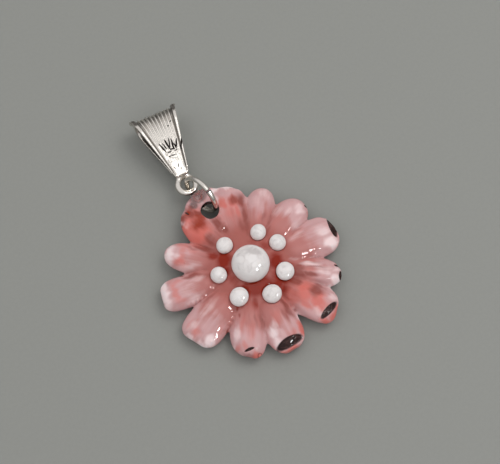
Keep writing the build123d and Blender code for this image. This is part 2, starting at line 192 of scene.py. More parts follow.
# Painted shade, grey near the dome's top, and pale spots in the dome: marks with their lengths as shares of
# its radius
DOME_SHADE = ((36, 0.42, 0.20, 0.34, 20, 0.9), (70, 0.30, 0.22, 0.30, 0, 0.6), (5, 0.36, 0.12, 0.20, 0, 0.7))
DOME_SPOTS = ((20, 0.10, 0.20, 0.24, 0, 1.0), (290, 0.40, 0.16, 0.20, 0, 0.6))

# The jump ring: direction of its width, its lean from upright and the place of its slit round it, in degrees
RING_TURN = 101.0
RING_LEAN = 10.0
SLIT_PLACE = 113.0
# The slit, the bevel of the wire's ends, and what the wire's radius lacks of the CAD's, in millimetres
SLIT = 0.12
END_BEVEL = 0.09
WIRE_ROOM = 0.005

# The bail lies along this direction, in degrees from +X, with its neck at its ring
BAIL_TURN = 81.3
# Distance from the bail's ring and half width, at the neck and at the fold, and distance of the fold's axis
BAIL_NECK = (1.805, 1.25)
BAIL_FOLD = (15.5, 4.2)
FOLD_CENTRE = 12.49
# The ribs, and the share of the half width that they cover
RIB_COUNT = 9
RIB_FIELD = 0.82
# Depths of the ribs' and the borders' grooves and of the pits, and swell of the ring's cast side and of the
# corners at the fold, in millimetres
RIB_DEPTH = 0.05
GUTTER_DEPTH = 0.08
PIT_DEPTH = 0.014
CAST_SWELL = 0.16
CORNER_SWELL = 0.16
# Black streaks between the ribs, a painted dark reflection: as the marks in the glass, from the bail's ring
# towards its fold
DARK_REFLECTIONS = (
    (-8.8, 7.75, 1.2, 0.17, -8, 1.0), (-5.2, 7.9, 0.8, 0.13, -10, 1.0), (-0.8, 7.8, 1.25, 0.18, -6, 1.0),
    (2.6, 8.2, 0.9, 0.14, 12, 1.0), (5.9, 7.8, 1.15, 0.18, 3, 1.0), (8.8, 7.3, 0.7, 0.13, -12, 1.0),
    (11.2, 7.7, 1.0, 0.17, 14, 1.0), (18.2, 7.6, 1.2, 0.17, 12, 1.0), (-3.2, 6.55, 0.14, 0.45, 14, 1.0),
    (0.4, 5.75, 0.11, 0.5, 4, 1.0), (-6.6, 5.85, 0.12, 0.25, 0, 1.0), (7.6, 11.25, 0.12, 0.18, 20, 1.0),
    (11, 12.0, 0.12, 0.16, -20, 0.9), (1.6, 3.65, 0.4, 0.09, 30, 1.0), (6.1, 2.95, 0.3, 0.09, 20, 0.9),
    (-12, 3.6, 0.4, 0.08, -12, 0.8), (3.4, 6.9, 0.16, 0.6, 10, 0.9), (8.2, 6.5, 0.14, 0.4, -16, 0.8),
)

# The lights: name, metres to the right of the aim, ahead of it and above it, size in metres, power in watts,
# colour, whether it lights matt surfaces and whether glossy ones mirror it
LIGHTS = (
    ("key_light", (0.24, 0.22, 0.50), (0.32, 0.30), 0.86, (1.0, 0.99, 0.97), True, False),
    ("top_light", (0.10, -0.04, 0.62), (0.34, 0.34), 0.40, (1.0, 1.0, 1.0), False, True),
    ("fill_light", (-0.42, 0.04, 0.34), (0.40, 0.40), 0.12, (1.0, 1.0, 1.0), True, False),
    ("left_window", (0.303, -0.333, 0.416), (0.05, 0.10), 1.0, (1.0, 1.0, 1.0), False, True),
    ("right_window", (0.437, -0.111, 0.416), (0.05, 0.10), 1.0, (1.0, 1.0, 1.0), False, True),
)
# The room's glow at the horizon and overhead, and its strength
GLOW_LOW = (0.20, 0.20, 0.205, 1.0)
GLOW_HIGH = (0.92, 0.92, 0.93, 1.0)
GLOW_STRENGTH = 0.92


def unit(degrees):
    """A direction's x and y."""
    return math.cos(math.radians(degrees)), math.sin(math.radians(degrees))


def smooth_step(low, high, values):
    """A smooth rise from 0 at low to 1 at high."""
    share = np.clip((values - low) / (high - low), 0, 1)
    return share * share * (3 - 2 * share)


def painted(x, y, marks):
    """How much of a set of marks lies at each place: a half at a mark's outline."""
    total = np.zeros_like(x)
    for direction, distance, along, across, turn, strength in marks:
        out_x, out_y = unit(direction)
        run = x * out_x + y * out_y - distance
        side = y * out_x - x * out_y
        turn_x, turn_y = unit(turn)
        reach = np.hypot((run * turn_x + side * turn_y) / along, (side * turn_x - run * turn_y) / across)
        total = np.maximum(total, strength * np.clip((1.6 - reach) / 1.2, 0, 1))
    return total


def distance_to(x, y, direction, distance):
    """How far each place is from the one at a direction and distance from the flower's centre."""
    out_x, out_y = unit(direction)
    return np.hypot(x - out_x * distance, y - out_y * distance)


def petal_places(x, y):
    """The petal that each place lies on, and how far along and across it the place is."""
    number = np.zeros(len(x), int)
    along = np.zeros_like(x)
    across = np.zeros_like(x)
    nearest = np.full(len(x), 1e9)
    for petal, (direction, half_width) in enumerate(PETALS):
        out_x, out_y = unit(direction)
        run = x * out_x + y * out_y
        side = y * out_x - x * out_y
        off = np.abs(side) / half_width + 10.0 * (run < 0)
        closer = off < nearest
        nearest[closer] = off[closer]
        number[closer] = petal
        along[closer] = run[closer]
        across[closer] = side[closer]
    return number, along, across


class Surface:
    """A mesh's points in millimetres, with what smooths, shapes, measures and colours them."""

    def __init__(self, mesh):
        self.mesh = mesh
        count = len(mesh.vertices)
        self.points = np.zeros(count * 3)
        mesh.vertices.foreach_get("co", self.points)
        self.points = self.points.reshape(-1, 3) / MM
        edges = np.zeros(len(mesh.edges) * 2, np.int32)
        mesh.edges.foreach_get("vertices", edges)
        self.start, self.end = edges.reshape(-1, 2).T
        self.joined = np.bincount(self.start, minlength=count) + np.bincount(self.end, minlength=count)

    def around(self, values):
        """The mean of each point's neighbours."""
        count, start, end = len(self.joined), self.start, self.end
        columns = [
            np.bincount(start, column[end], count) + np.bincount(end, column[start], count)
            for column in values.reshape(count, -1).T
        ]
        return (np.array(columns) / self.joined).T.reshape(values.shape)

    def soften(self, values, rounds):
        """Values, or places, evened out between neighbours."""
        for _ in range(rounds):
            values = values + 0.5 * (self.around(values) - values)
        return values

    def normals(self):
        """The normals at the points, as these are now."""
        self.place()
        found = np.zeros(len(self.points) * 3)
        self.mesh.vertices.foreach_get("normal", found)
        return found.reshape(-1, 3)

    def fill(self, rounds, share):
        """Fills the creases, and leaves what stands out as it is."""
        for _ in range(rounds):
            normals = self.normals()
            rise = np.sum((self.around(self.points) - self.points) * normals, axis=1)
            self.points += normals * (np.maximum(rise, 0) * share)[:, None]

    def place(self):
        """Puts the points into the mesh."""
        self.mesh.vertices.foreach_set("co", (self.points * MM).ravel())
        self.mesh.update()

    def hollow(self, rounds, scale):
        """How far each point lies under its surroundings, as a share of scale in millimetres."""
        under = np.sum((self.soften(self.points, rounds) - self.points) * self.normals(), axis=1)
        return under / scale

    def write(self, name, values):
        """Keeps values in the mesh for its material to read."""
        kind, field = ("FLOAT_VECTOR", "vector") if values.ndim == 2 else ("FLOAT", "value")
        kept = self.mesh.attributes.new(name, kind, "POINT").data
        kept.foreach_set(field, values.astype(np.float32).ravel())


def grain(points, scale, seed):
    """Soft uneven noise at each point, from about -1 to 1."""
    offset = Vector((seed * 13.7, seed * 7.1, seed * 3.3))
    return np.array([noise.noise(Vector(p) * scale + offset) for p in points])


def wandering(x, y, along, across, number):
    """The places shifted unevenly, more along the petals, so that the marks get feathered outlines."""
    petal = np.stack([across * 1.1, along * 0.2, number * 5.0], axis=1)
    flat = np.stack([x, y, 0 * x], axis=1)
    slide = 0.45 * grain(petal, 1.0, 21) + 0.2 * grain(petal, 2.2, 22) + 0.5 * grain(flat, 0.6, 23)
    drift = 0.4 * grain(flat, 0.6, 24) + 0.12 * grain(flat, 1.9, 25)
    heading = np.radians(np.array([row[0] for row in PETALS]))[number]
    slide = slide * smooth_step(6.0, 9.0, np.hypot(x, y)) + 0.5 * drift
    x = x + slide * np.cos(heading) - drift * np.sin(heading)
    y = y + slide * np.sin(heading) + drift * np.cos(heading)
    return x, y


def new_piece(name, mesh, material, node):
    """Adds a finished piece in place of a CAD node."""
    piece = bpy.data.objects.new(name, mesh)
    bpy.context.scene.collection.objects.link(piece)
    mesh.materials.clear()
    mesh.materials.append(material)
    mesh.shade_smooth()
    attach(piece, "root")
    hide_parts(node)


def mesh_of(shape, name):
    """Turns a bmesh into a mesh, with its faces pointing outwards."""
    bmesh.ops.recalc_face_normals(shape, faces=shape.faces)
    mesh = bpy.data.meshes.new(name)
    shape.to_mesh(mesh)
    shape.free()
    return mesh


def rotate(shape, angle, axis):
    """Turns a bmesh about an axis through its origin."""
    bmesh.ops.rotate(shape, cent=Vector(), matrix=Matrix.Rotation(angle, 3, axis), verts=shape.verts)


def put_in_order(elements, key):
    """Sorts a bmesh's elements by a key, as a bevel leaves them in another order in each run."""
    for index, element in enumerate(sorted(elements, key=key)):
        element.index = index
    elements.sort()


def even_copy(node, voxel):
    """A copy of a CAD node's skin in even small faces."""
    shape = bmesh.new()
    shape.from_mesh(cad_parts[node].data)
    bmesh.ops.remove_doubles(shape, verts=shape.verts, dist=WELD)
    mesh = bpy.data.meshes.new(node)
    shape.to_mesh(mesh)
    shape.free()
    holder = bpy.data.objects.new(node + "_even", mesh)
    bpy.context.scene.collection.objects.link(holder)
    even = holder.modifiers.new("even faces", "REMESH")
    even.mode = "VOXEL"
    even.voxel_size = voxel
    even.adaptivity = 0
    graph = bpy.context.evaluated_depsgraph_get()
    made = bpy.data.meshes.new_from_object(holder.evaluated_get(graph))
    bpy.data.objects.remove(holder)
    bpy.data.meshes.remove(mesh)
    return made


class Shade:
    """A value in a material: a node's output, with arithmetic that adds Math nodes."""

    def __init__(self, tree, socket=None):
        self.tree = tree
        self.socket = socket

    def node(self, kind, settings=None, values=None, output=0):
        """Adds a node: its settings first, then the values or links of its sockets."""
        made = self.tree.nodes.new(kind)
        for name, value in (settings or {}).items():
            setattr(made, name, value)
        for name, value in (values or {}).items():
            if isinstance(value, Shade):
                self.tree.links.new(value.socket, made.inputs[name])
            else:
                made.inputs[name].default_value = value
        return Shade(self.tree, made.outputs[output])

    def maths(self, operation, *values):
        return self.node("ShaderNodeMath", {"operation": operation}, dict(enumerate(values)))

    def __add__(self, other):
        return self.maths("ADD", self, other)

    def __radd__(self, other):
        return self.maths("ADD", other, self)

    def __sub__(self, other):
        return self.maths("SUBTRACT", self, other)

    def __mul__(self, other):
        return self.maths("MULTIPLY", self, other)

    def step(self, low, high):
        """A smooth rise from 0 at low to 1 at high."""
        sockets = {"Value": self, "From Min": low, "From Max": high}
        return self.node("ShaderNodeMapRange", {"interpolation_type": "SMOOTHSTEP"}, sockets)

    def mixed(self, colour, other, share):
        """A colour, mixed with another by a share."""
        sockets = {"Factor": share, 6: colour, 7: other}
        return self.node("ShaderNodeMix", {"data_type": "RGBA"}, sockets, output=2)

    def stretched(self, x, y, z):
        return self.node("ShaderNodeVectorMath", {"operation": "MULTIPLY"}, {0: self, 1: (x, y, z)})

    def attribute(self, name, output="Fac"):
        return self.node("ShaderNodeAttribute", {"attribute_name": name}, output=output)

    def object_place(self):
        return self.node("ShaderNodeTexCoord", output="Object")

    def noise(self, place, scale, detail=3.0, roughness=0.5, distortion=0.0):
        sockets = {"Vector": place, "Scale": scale, "Detail": detail, "Roughness": roughness}
        return self.node("ShaderNodeTexNoise", {}, {**sockets, "Distortion": distortion})


def new_material(name):
    """An empty material, and what its nodes are added by."""
    material = bpy.data.materials.new(name)
    material.use_nodes = True
    material.node_tree.nodes.clear()
    return material, Shade(material.node_tree)


def finish(paint, shader, kind="ShaderNodeOutputMaterial"):
    """Links a shader to the output of its material or world."""
    output = paint.tree.nodes.new(kind)
    paint.tree.links.new(shader.socket, output.inputs["Surface"])


def srgb(red, green, blue):
    """A colour given as on a screen, from 0 to 255, as Blender's linear values."""
    def linear(value):
        share = value / 255
        return share / 12.92 if share <= 0.04045 else ((share + 0.055) / 1.055) ** 2.4
    return linear(red), linear(green), linear(blue)


def opaque(colour):
    """A colour as a socket takes it, with its fourth value."""
    return (*colour[:3], 1.0)


def pink_glass(glass):
    """Streaky pink and white glass, with coral and red in it, dark facets in a painted dark reflection,
    painted shade in the creases and the hole, painted highlight on the ridges, and a clear eyelet.
    """
    material, paint = new_material("pink_glass")
    place = paint.attribute("petal_place", "Vector")
    broad = paint.noise(place.stretched(0.42, 0.10, 1.0), 1.0, 2.0, 0.45, 0.8)
    fine = paint.noise(place.stretched(1.6, 0.12, 1.0), 1.0, 2.0, 0.5, 0.4)
    cloud = paint.noise(paint.object_place(), 300.0, 3.0, 0.5, 0.6)
    wander = (cloud - 0.5) * 0.35 + (fine - 0.5) * 0.30
    outer = paint.attribute("outer")

    pale = (broad * 0.5 + fine * 0.2 + cloud * 0.3 + outer * 0.30 - 0.16).step(0.36, 0.68)
    colour = paint.mixed(opaque(glass.rose), opaque(glass.pale), pale)
    heart = (paint.attribute("heart") + wander * 0.5).step(0.1, 0.9)
    colour = paint.mixed(colour, opaque(glass.dusk), heart * 0.9)
    coral = (paint.attribute("coral") + wander).step(0.15, 0.95)
    colour = paint.mixed(colour, opaque(glass.coral), coral * 0.85)
    wine_and_shade = (paint.attribute("wine_and_shade") + wander).step(0.2, 1.0)
    colour = paint.mixed(colour, opaque(glass.wine_and_shade), wine_and_shade * 0.85)
    # Painted shade: the creases and hollows are darkened with the wine colour
    groove = (paint.attribute("hollow") + wander * 0.3).step(0.05, 0.85)
    colour = paint.mixed(colour, opaque(glass.wine_and_shade), groove * 0.85)
    milk = (paint.attribute("milk") + wander).step(0.15, 0.95)
    colour = paint.mixed(colour, opaque(glass.milk), milk * 0.85)
    # Painted highlight: the ridges are lightened with milk where the glass edge catches light
    ridge_highlight = (paint.attribute("hollow") * -1.0).step(0.3, 1.3) * outer
    colour = paint.mixed(colour, opaque(glass.milk), ridge_highlight * 0.45)
    # Red glass round the dome and orange beside the hole, and painted shade under the glass near the hole
    ember_and_shade = (paint.attribute("ember_and_shade") + wander * 0.8).step(0.15, 0.85)
    red = paint.mixed(opaque(glass.ember_and_shade), opaque(glass.flame), outer)
    colour = paint.mixed(colour, red, ember_and_shade)
    # Painted dark reflection in the facets, painted shade on the hole's wall and underside, and dark flaws
    painted_dark_and_flaws = (paint.attribute("painted_dark_and_flaws") + wander * 0.18).step(0.42, 0.58)
    reflection_mottle = paint.noise(paint.object_place(), 900.0, 3.0, 0.6, 1.2).step(0.45, 0.75)
    colour = paint.mixed(colour, paint.mixed(opaque(glass.painted_dark_and_flaws), opaque(glass.reflection_mottle), reflection_mottle * 0.5), painted_dark_and_flaws)

    ripple = paint.noise(paint.object_place(), 700.0, 2.0, 0.4, 0.3)
    bump = paint.node("ShaderNodeBump", {}, {"Strength": 0.25, "Distance": 0.06 * MM, "Height": ripple})
    body = paint.node(
        "ShaderNodeBsdfPrincipled",
        {},
        {
            "Base Color": colour,
            "Roughness": 0.06,
            "IOR": 1.5,
            "Specular IOR Level": 0.22,
            "Subsurface Weight": 0.3,
            "Subsurface Radius": (1.0, 0.55, 0.5),
            "Subsurface Scale": 0.7 * MM,
            "Normal": bump,
        },
    )
    sockets = {"Base Color": opaque(glass.clear), "Roughness": 0.03, "IOR": 1.5, "Transmission Weight": 1.0}
    clear = paint.node("ShaderNodeBsdfPrincipled", {}, sockets)
    share = (paint.attribute("clear") + wander * 0.2).step(0.35, 0.75) * 0.72
    mixed = paint.node("ShaderNodeMixShader", {}, {0: share, 1: body, 2: clear})
    finish(paint, mixed)
    return material


def white_glass(white):
    """Opaque white glass with a faint grey swirl, painted shade near the dome's top and a rim lightened as
    painted light.
    """
    material, paint = new_material("white_glass")
    place = paint.object_place()
    cloud = paint.noise(place, 650.0, 4.0, 0.55, 1.0)
    rim = paint.attribute("rim")
    # Grey swirl, with the dome's painted shade, lightened at the rim as painted light
    swirl = cloud + paint.attribute("cloud") * 0.5 - rim * 0.35 - paint.attribute("spot") * 0.4
    grey = swirl.step(0.35, 0.9)
    colour = paint.mixed(opaque(white.white), opaque(white.grey), grey * 0.85)
    body = paint.node(
        "ShaderNodeBsdfPrincipled",
        {},
        {
            "Base Color": colour,
            "Roughness": 0.1,
            "IOR": 1.5,
            "Subsurface Weight": 0.3,
            "Subsurface Radius": (1.0, 0.9, 0.85),
            "Subsurface Scale": 0.6 * MM,
        },
    )
    finish(paint, body)
    return material


def silver(name, metal, tarnish_and_shade_share):
    """Polished warm silver plate, darker and duller in its hollows with tarnish and painted shade, with black
    marks, on the bail a painted dark reflection, and fine scratches.
    """
    material, paint = new_material(name)
    place = paint.object_place()
    hollow = paint.attribute("hollow")
    stain_and_reflection = paint.attribute("stain_and_reflection")
    cloud = paint.noise(place, 900.0, 4.0, 0.6, 0.5)
    dark = (hollow + (cloud - 0.5) * 0.6).step(0.15, 1.0) * tarnish_and_shade_share
    colour = paint.mixed(opaque(metal.bright), opaque(metal.tarnish_and_shade), dark)
    black = (stain_and_reflection + (cloud - 0.5) * 0.5).step(0.42, 0.62)
    colour = paint.mixed(colour, opaque(metal.black), black)
    rough = 0.14 + dark * 0.25 + cloud * 0.08
    scratch = paint.noise(place.stretched(1.0, 0.15, 1.0), 5200.0, 3.0, 0.6)
    bump = paint.node("ShaderNodeBump", {}, {"Strength": 0.12, "Distance": 0.03 * MM, "Height": scratch})
    sockets = {"Base Color": colour, "Metallic": 1.0, "Roughness": rough, "Normal": bump}
    body = paint.node("ShaderNodeBsdfPrincipled", {}, sockets)
    finish(paint, body)
    return material


class GlassSettings(bpy.types.PropertyGroup):
    face_size: bpy.props.FloatProperty(
        name="Face size", description="Size of the flower's faces",
        default=0.18 * MM, min=0.05 * MM, unit="LENGTH", precision=6,
    )
    rose: bpy.props.FloatVectorProperty(
        name="Rose", description="Colour of most of the glass",
        default=srgb(190, 125, 120), subtype="COLOR", min=0, max=1,
    )
    pale: bpy.props.FloatVectorProperty(
        name="Pale", description="Colour of the pale streaks",
        default=srgb(210, 167, 167), subtype="COLOR", min=0, max=1,
    )
    milk: bpy.props.FloatVectorProperty(
        name="Milk", description="Colour of the milky rims",
        default=srgb(252, 232, 232), subtype="COLOR", min=0, max=1,
    )
    dusk: bpy.props.FloatVectorProperty(
        name="Dusk", description="Colour of the heart and the grooves",
        default=srgb(172, 98, 90), subtype="COLOR", min=0, max=1,
    )
    # Also the colour of the painted shade in the creases and round the bubbles
    wine_and_shade: bpy.props.FloatVectorProperty(
        name="Wine", description="Colour of the dusky marks and creases",
        default=srgb(136, 62, 52), subtype="COLOR", min=0, max=1,
    )
    coral: bpy.props.FloatVectorProperty(
        name="Coral", description="Colour of the coral streaks",
        default=srgb(216, 112, 100), subtype="COLOR", min=0, max=1,
    )
    # Also the colour of the painted shade under the glass near the hole
    ember_and_shade: bpy.props.FloatVectorProperty(
        name="Ember", description="Colour of the red glass round the dome",
        default=srgb(138, 32, 8), subtype="COLOR", min=0, max=1,
    )
    flame: bpy.props.FloatVectorProperty(
        name="Flame", description="Colour of the orange glass beside the hole",
        default=srgb(156, 54, 28), subtype="COLOR", min=0, max=1,
    )
    # Colour of the painted dark reflection in the facets, the painted shade in the hole, and the dark flaws
    painted_dark_and_flaws: bpy.props.FloatVectorProperty(
        name="Smoke", description="Colour of the dark facets",
        default=srgb(46, 26, 24), subtype="COLOR", min=0, max=1,
    )
    # Lighter mottles in the painted dark reflection of the facets
    reflection_mottle: bpy.props.FloatVectorProperty(
        name="Ash", description="Lighter colour in the dark facets",
        default=srgb(110, 78, 74), subtype="COLOR", min=0, max=1,
    )
    clear: bpy.props.FloatVectorProperty(
        name="Clear", description="Tint of the clear eyelet",
        default=srgb(236, 198, 192), subtype="COLOR", min=0, max=1,
    )


class WhiteSettings(bpy.types.PropertyGroup):
    lump: bpy.props.FloatProperty(
        name="Lumps", description="Unevenness of the dots",
        default=0.05 * MM, min=0, unit="LENGTH", precision=6,
    )
    white: bpy.props.FloatVectorProperty(
        name="White", description="Colour of the white glass",
        default=srgb(236, 231, 229), subtype="COLOR", min=0, max=1,
    )
    grey: bpy.props.FloatVectorProperty(
        name="Grey", description="Colour of the faint swirl",
        default=srgb(196, 189, 187), subtype="COLOR", min=0, max=1,
    )


class MetalSettings(bpy.types.PropertyGroup):
    ring_place: bpy.props.FloatVectorProperty(
        name="Jump ring's centre", description="Centre of the jump ring",
        default=(0.2795 * MM, 16.4469 * MM, 4.0999 * MM), subtype="XYZ_LENGTH", precision=6,
    )
    ring_radius: bpy.props.FloatProperty(
        name="Jump ring's radius", description="To the middle of the wire",
        default=3.625 * MM, unit="LENGTH", precision=6,
    )
    ring_wire: bpy.props.FloatProperty(
        name="Wire", description="Thickness of the jump ring's wire",
        default=1.0 * MM, unit="LENGTH", precision=6,
    )
    bail_place: bpy.props.FloatVectorProperty(
        name="Bail's ring", description="Centre of the bail's ring",
        default=(-0.5572 * MM, 20.0162 * MM, 2.79 * MM), subtype="XYZ_LENGTH", precision=6,
    )
    bail_face_size: bpy.props.FloatProperty(
        name="Bail's face size", description="Size of the bail's faces",
        default=0.085 * MM, min=0.04 * MM, unit="LENGTH", precision=6,
    )
    bright: bpy.props.FloatVectorProperty(
        name="Silver", description="Colour of the polished silver",
        default=srgb(220, 214, 206), subtype="COLOR", min=0, max=1,
    )
    # Tarnish and painted shade in the hollows
    tarnish_and_shade: bpy.props.FloatVectorProperty(
        name="Tarnish", description="Colour in the hollows",
        default=srgb(80, 74, 68), subtype="COLOR", min=0, max=1,
    )
    # The black is also the painted dark reflection on the bail
    black: bpy.props.FloatVectorProperty(
        name="Black", description="Colour of the blackened flaws",
        default=srgb(26, 22, 20), subtype="COLOR", min=0, max=1,
    )


class StageSettings(bpy.types.PropertyGroup):
    aim: bpy.props.FloatVectorProperty(
        name="Aim", description="Place on the floor in the middle of the view",
        default=(4.392 * MM, 6.593 * MM, 0.0), subtype="XYZ_LENGTH", precision=6,
    )
    distance: bpy.props.FloatProperty(
        name="Distance", description="From the camera to the aim",
        default=217.4 * MM, unit="LENGTH", precision=6,
    )
    elevation: bpy.props.FloatProperty(
        name="Elevation", description="Height of the camera above the horizon",
        default=math.radians(70), subtype="ANGLE",
    )
    azimuth: bpy.props.FloatProperty(
        name="Azimuth", description="Turn of the camera round the pendant",
        default=math.radians(-34.5), subtype="ANGLE",
    )
    floor: bpy.props.FloatVectorProperty(
        name="Floor", description="Colour of the floor",
        default=srgb(143, 144, 139), subtype="COLOR", min=0, max=1,
    )


class PENDANT_OT_flower(bpy.types.Operator):
    """Dress the glass flower: melted grooves, facets, bubbles and streaky colour"""

    bl_idname = "pendant.flower"
    bl_label = "Glass flower"

    def execute(self, context):
        glass = context.scene.pendant_glass
        mesh = even_copy("flower", glass.face_size)
        skin = Surface(mesh)
        skin.points = skin.soften(skin.points, rounds=4)
        low, high = (np.array(corner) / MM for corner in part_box("flower"))

        x, y, z = skin.points.T
        number, along, across = petal_places(x, y)
        distance = np.hypot(x, y)
        tips = distance > TIPS
        # The facets' dark colour is a painted dark reflection; the flaws are dark glass
        painted_dark_and_flaws = painted(x, y, DARK_REFLECTIONS_AND_FLAWS)
        upper = smooth_step(0.1, 0.5, skin.normals()[:, 2])
        facet = smooth_step(0.4, 0.62, painted_dark_and_flaws) * tips * upper
        rim = smooth_step(0.12, 0.42, painted_dark_and_flaws) * (1 - smooth_step(0.42, 0.6, painted_dark_and_flaws)) * tips * upper

        waves = grain(np.stack([across * 0.5, along * 0.18, number * 3.0], axis=1), 1.0, 1)
        fine = grain(skin.points, 0.9, 2)
        swell = WAVE_HEIGHT * waves * smooth_step(6, 10, distance) + FINE_HEIGHT * fine
        swell += (painted(x, y, CRESTS) - painted(x, y, SCOOPS)) * upper
        for direction, reach, radius in BUBBLES:
            off = distance_to(x, y, direction, reach) / radius
            swell += BUBBLE_RISE * radius * np.sqrt(np.clip(1 - off**2, 0, 1)) * upper
        ring = np.zeros_like(x)
        for direction, reach, radius, strength in BUBBLE_RINGS:
            off = np.abs(distance_to(x, y, direction, reach) - radius)
            ring = np.maximum(ring, strength * np.clip(1 - off / BUBBLE_RING_WIDTH, 0, 1))
        swell = swell - FACET_DEPTH * facet + FACET_RIM * rim - BUBBLE_RING_DEPTH * ring * upper
        skin.points += skin.normals() * swell[:, None]
        skin.points = skin.soften(skin.points, rounds=2)
        skin.points = np.clip(skin.points, low, high)
        skin.place()

        # The wall of the hole, and the underside near it, which is seen through the clear glass: both get
        # painted shade
        hole_x, hole_y, hole_radius = HOLE
        from_hole = np.hypot(x - hole_x, y - hole_y)
        wall = 1 - smooth_step(0.05, 0.35, from_hole - hole_radius)
        under = 1 - smooth_step(-0.5, 0.0, skin.normals()[:, 2])
        shade = under * (1 - smooth_step(3.0, 6.0, from_hole))
        moved = wandering(x, y, along, across, number)
        skin.write("petal_place", np.stack([across, along, number * 7.3 + 0.4 * z], axis=1))
        skin.write("heart", 1 - smooth_step(*HEART, distance))
        skin.write("outer", smooth_step(*OUTER, distance))
        # How far each place lies under its surroundings, which the material turns into painted shade in the
        # creases and painted highlight on the ridges
        skin.write("hollow", skin.soften(skin.hollow(rounds=30, scale=0.30), rounds=2))
        skin.write("coral", painted(*moved, CORAL))
        skin.write("milk", painted(*moved, MILK) * (1 - shade))
        # Painted shade: the grooves round the two larger bubbles get dark outlines
        skin.write("wine_and_shade", np.maximum(painted(*moved, WINE_AND_CREASE_SHADE), 1.2 * ring * tips))
        # Painted shade near the hole: its underside is red and dark and loses its milk, and its wall is dark
        skin.write("ember_and_shade", np.maximum(painted(*moved, EMBER), shade))
        skin.write("painted_dark_and_flaws", np.maximum.reduce([painted_dark_and_flaws, wall * (1 - upper), 0.7 * shade]))
        skin.write("clear", painted(x, y, CLEAR) * (1 - 0.7 * ring))
        new_piece("glass_flower", mesh, pink_glass(glass), "flower")
        return {"FINISHED"}


class PENDANT_OT_white(bpy.types.Operator):
    """Shape the white glass dome and dots: flattened balls, slightly uneven, set into the flower"""

    bl_idname = "pendant.white"
    bl_label = "White dome and dots"

    def execute(self, context):
        white = context.scene.pendant_white
        material = white_glass(white)
        for seed, (node, direction, along, across, rise, divisions) in enumerate(WHITE_BALLS):
            low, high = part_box(node)
            centre = Vector(((low.x + high.x) / 2, (low.y + high.y) / 2, high.z - rise * MM))
            shape = bmesh.new()
            bmesh.ops.create_icosphere(shape, subdivisions=divisions, radius=1.0)
            bmesh.ops.scale(shape, vec=Vector((along * MM, across * MM, rise * MM)), verts=shape.verts)
            rotate(shape, math.radians(direction), "Z")
            bmesh.ops.translate(shape, vec=centre, verts=shape.verts)
            bmesh.ops.bisect_plane(
                shape,
                geom=shape.verts[:] + shape.edges[:] + shape.faces[:],
                plane_co=low,
                plane_no=Vector((0, 0, 1)),
                clear_inner=True,
            )
            bmesh.ops.holes_fill(shape, edges=[edge for edge in shape.edges if edge.is_boundary])
            mesh = mesh_of(shape, node)
            skin = Surface(mesh)
            lump = white.lump / MM
            lumps = grain(skin.points, 0.55, seed + 5) + 0.3 * grain(skin.points, 1.6, seed + 9)
            skin.points += skin.normals() * (lumps * lump - 0.6 * lump)[:, None]
            skin.points = np.clip(skin.points, np.array(low) / MM, np.array(high) / MM)
            skin.place()
            local = (skin.points[:, 0] - centre.x / MM) / along, (skin.points[:, 1] - centre.y / MM) / along
            shade_marks, spots = (DOME_SHADE, DOME_SPOTS) if node == "centre_dome" else ((), ())
            # Painted light: the rim is lighter; on the dome, painted shade greys it near the top
            skin.write("rim", smooth_step(0.70, 0.9, np.hypot(*local)))
            skin.write("cloud", painted(*local, shade_marks))
            skin.write("spot", painted(*local, spots))
            new_piece("white_" + node, mesh, material, node)
        return {"FINISHED"}


class PENDANT_OT_jump_ring(bpy.types.Operator):
    """Bend the jump ring from round wire, with its two ends meeting at a slit"""

    bl_idname = "pendant.jump_ring"
    bl_label = "Jump ring"

    def execute(self, context):
        metal = context.scene.pendant_metal
        slit = SLIT * MM / metal.ring_radius
        place = math.radians(SLIT_PLACE)
        wire_radius = 0.5 * metal.ring_wire - WIRE_ROOM * MM
        shape = bmesh.new()
        bmesh.ops.create_circle(shape, cap_ends=True, segments=32, radius=wire_radius)
        rotate(shape, math.radians(90), "X")
        bmesh.ops.translate(shape, vec=Vector((metal.ring_radius, 0, 0)), verts=shape.verts)
        rotate(shape, place + 0.5 * slit, "Z")
        bmesh.ops.spin(
            shape,
            geom=shape.verts[:] + shape.edges[:] + shape.faces[:],
            cent=Vector(),
            axis=Vector((0, 0, 1)),
            angle=2 * math.pi - slit,
            steps=200,
        )
        bmesh.ops.remove_doubles(shape, verts=shape.verts, dist=WELD)
        ends = [face for face in shape.faces if len(face.verts) > 4]
        bmesh.ops.bevel(
            shape,
            geom=[edge for face in ends for edge in face.edges],
            affect="EDGES",
            offset=END_BEVEL * MM,
            segments=3,
            profile=0.5,
            material=-1,
        )
        width = Vector((*unit(RING_TURN), 0))
        lean = math.radians(RING_LEAN)
        upright = Vector((*unit(RING_TURN - 90), 0)) * math.sin(lean) + Vector((0, 0, math.cos(lean)))
        turn = Matrix((width, upright, width.cross(upright))).transposed()
        bmesh.ops.rotate(shape, cent=Vector(), matrix=turn, verts=shape.verts)
        bmesh.ops.translate(shape, vec=Vector(metal.ring_place), verts=shape.verts)
        put_in_order(shape.verts, lambda vert: vert.co[:])
        put_in_order(shape.faces, lambda face: face.calc_center_median()[:])
        mesh = mesh_of(shape, "jump_ring")
        skin = Surface(mesh)
        local = (skin.points - np.array(metal.ring_place) / MM) @ np.array(turn)
        turned = np.arctan2(local[:, 1], local[:, 0]) - place
        gap = np.abs((turned + math.pi) % (2 * math.pi) - math.pi) * metal.ring_radius / MM
        skin.write("hollow", 1 - smooth_step(0.05, 0.35, gap) + 0.15 * grain(skin.points, 0.7, 31))
        skin.write("stain_and_reflection", 0.7 * (1 - smooth_step(0.1, 0.28, gap)))
        new_piece("wire_jump_ring", mesh, silver("ring_silver", metal, 0.6), "jump_ring")
        return {"FINISHED"}


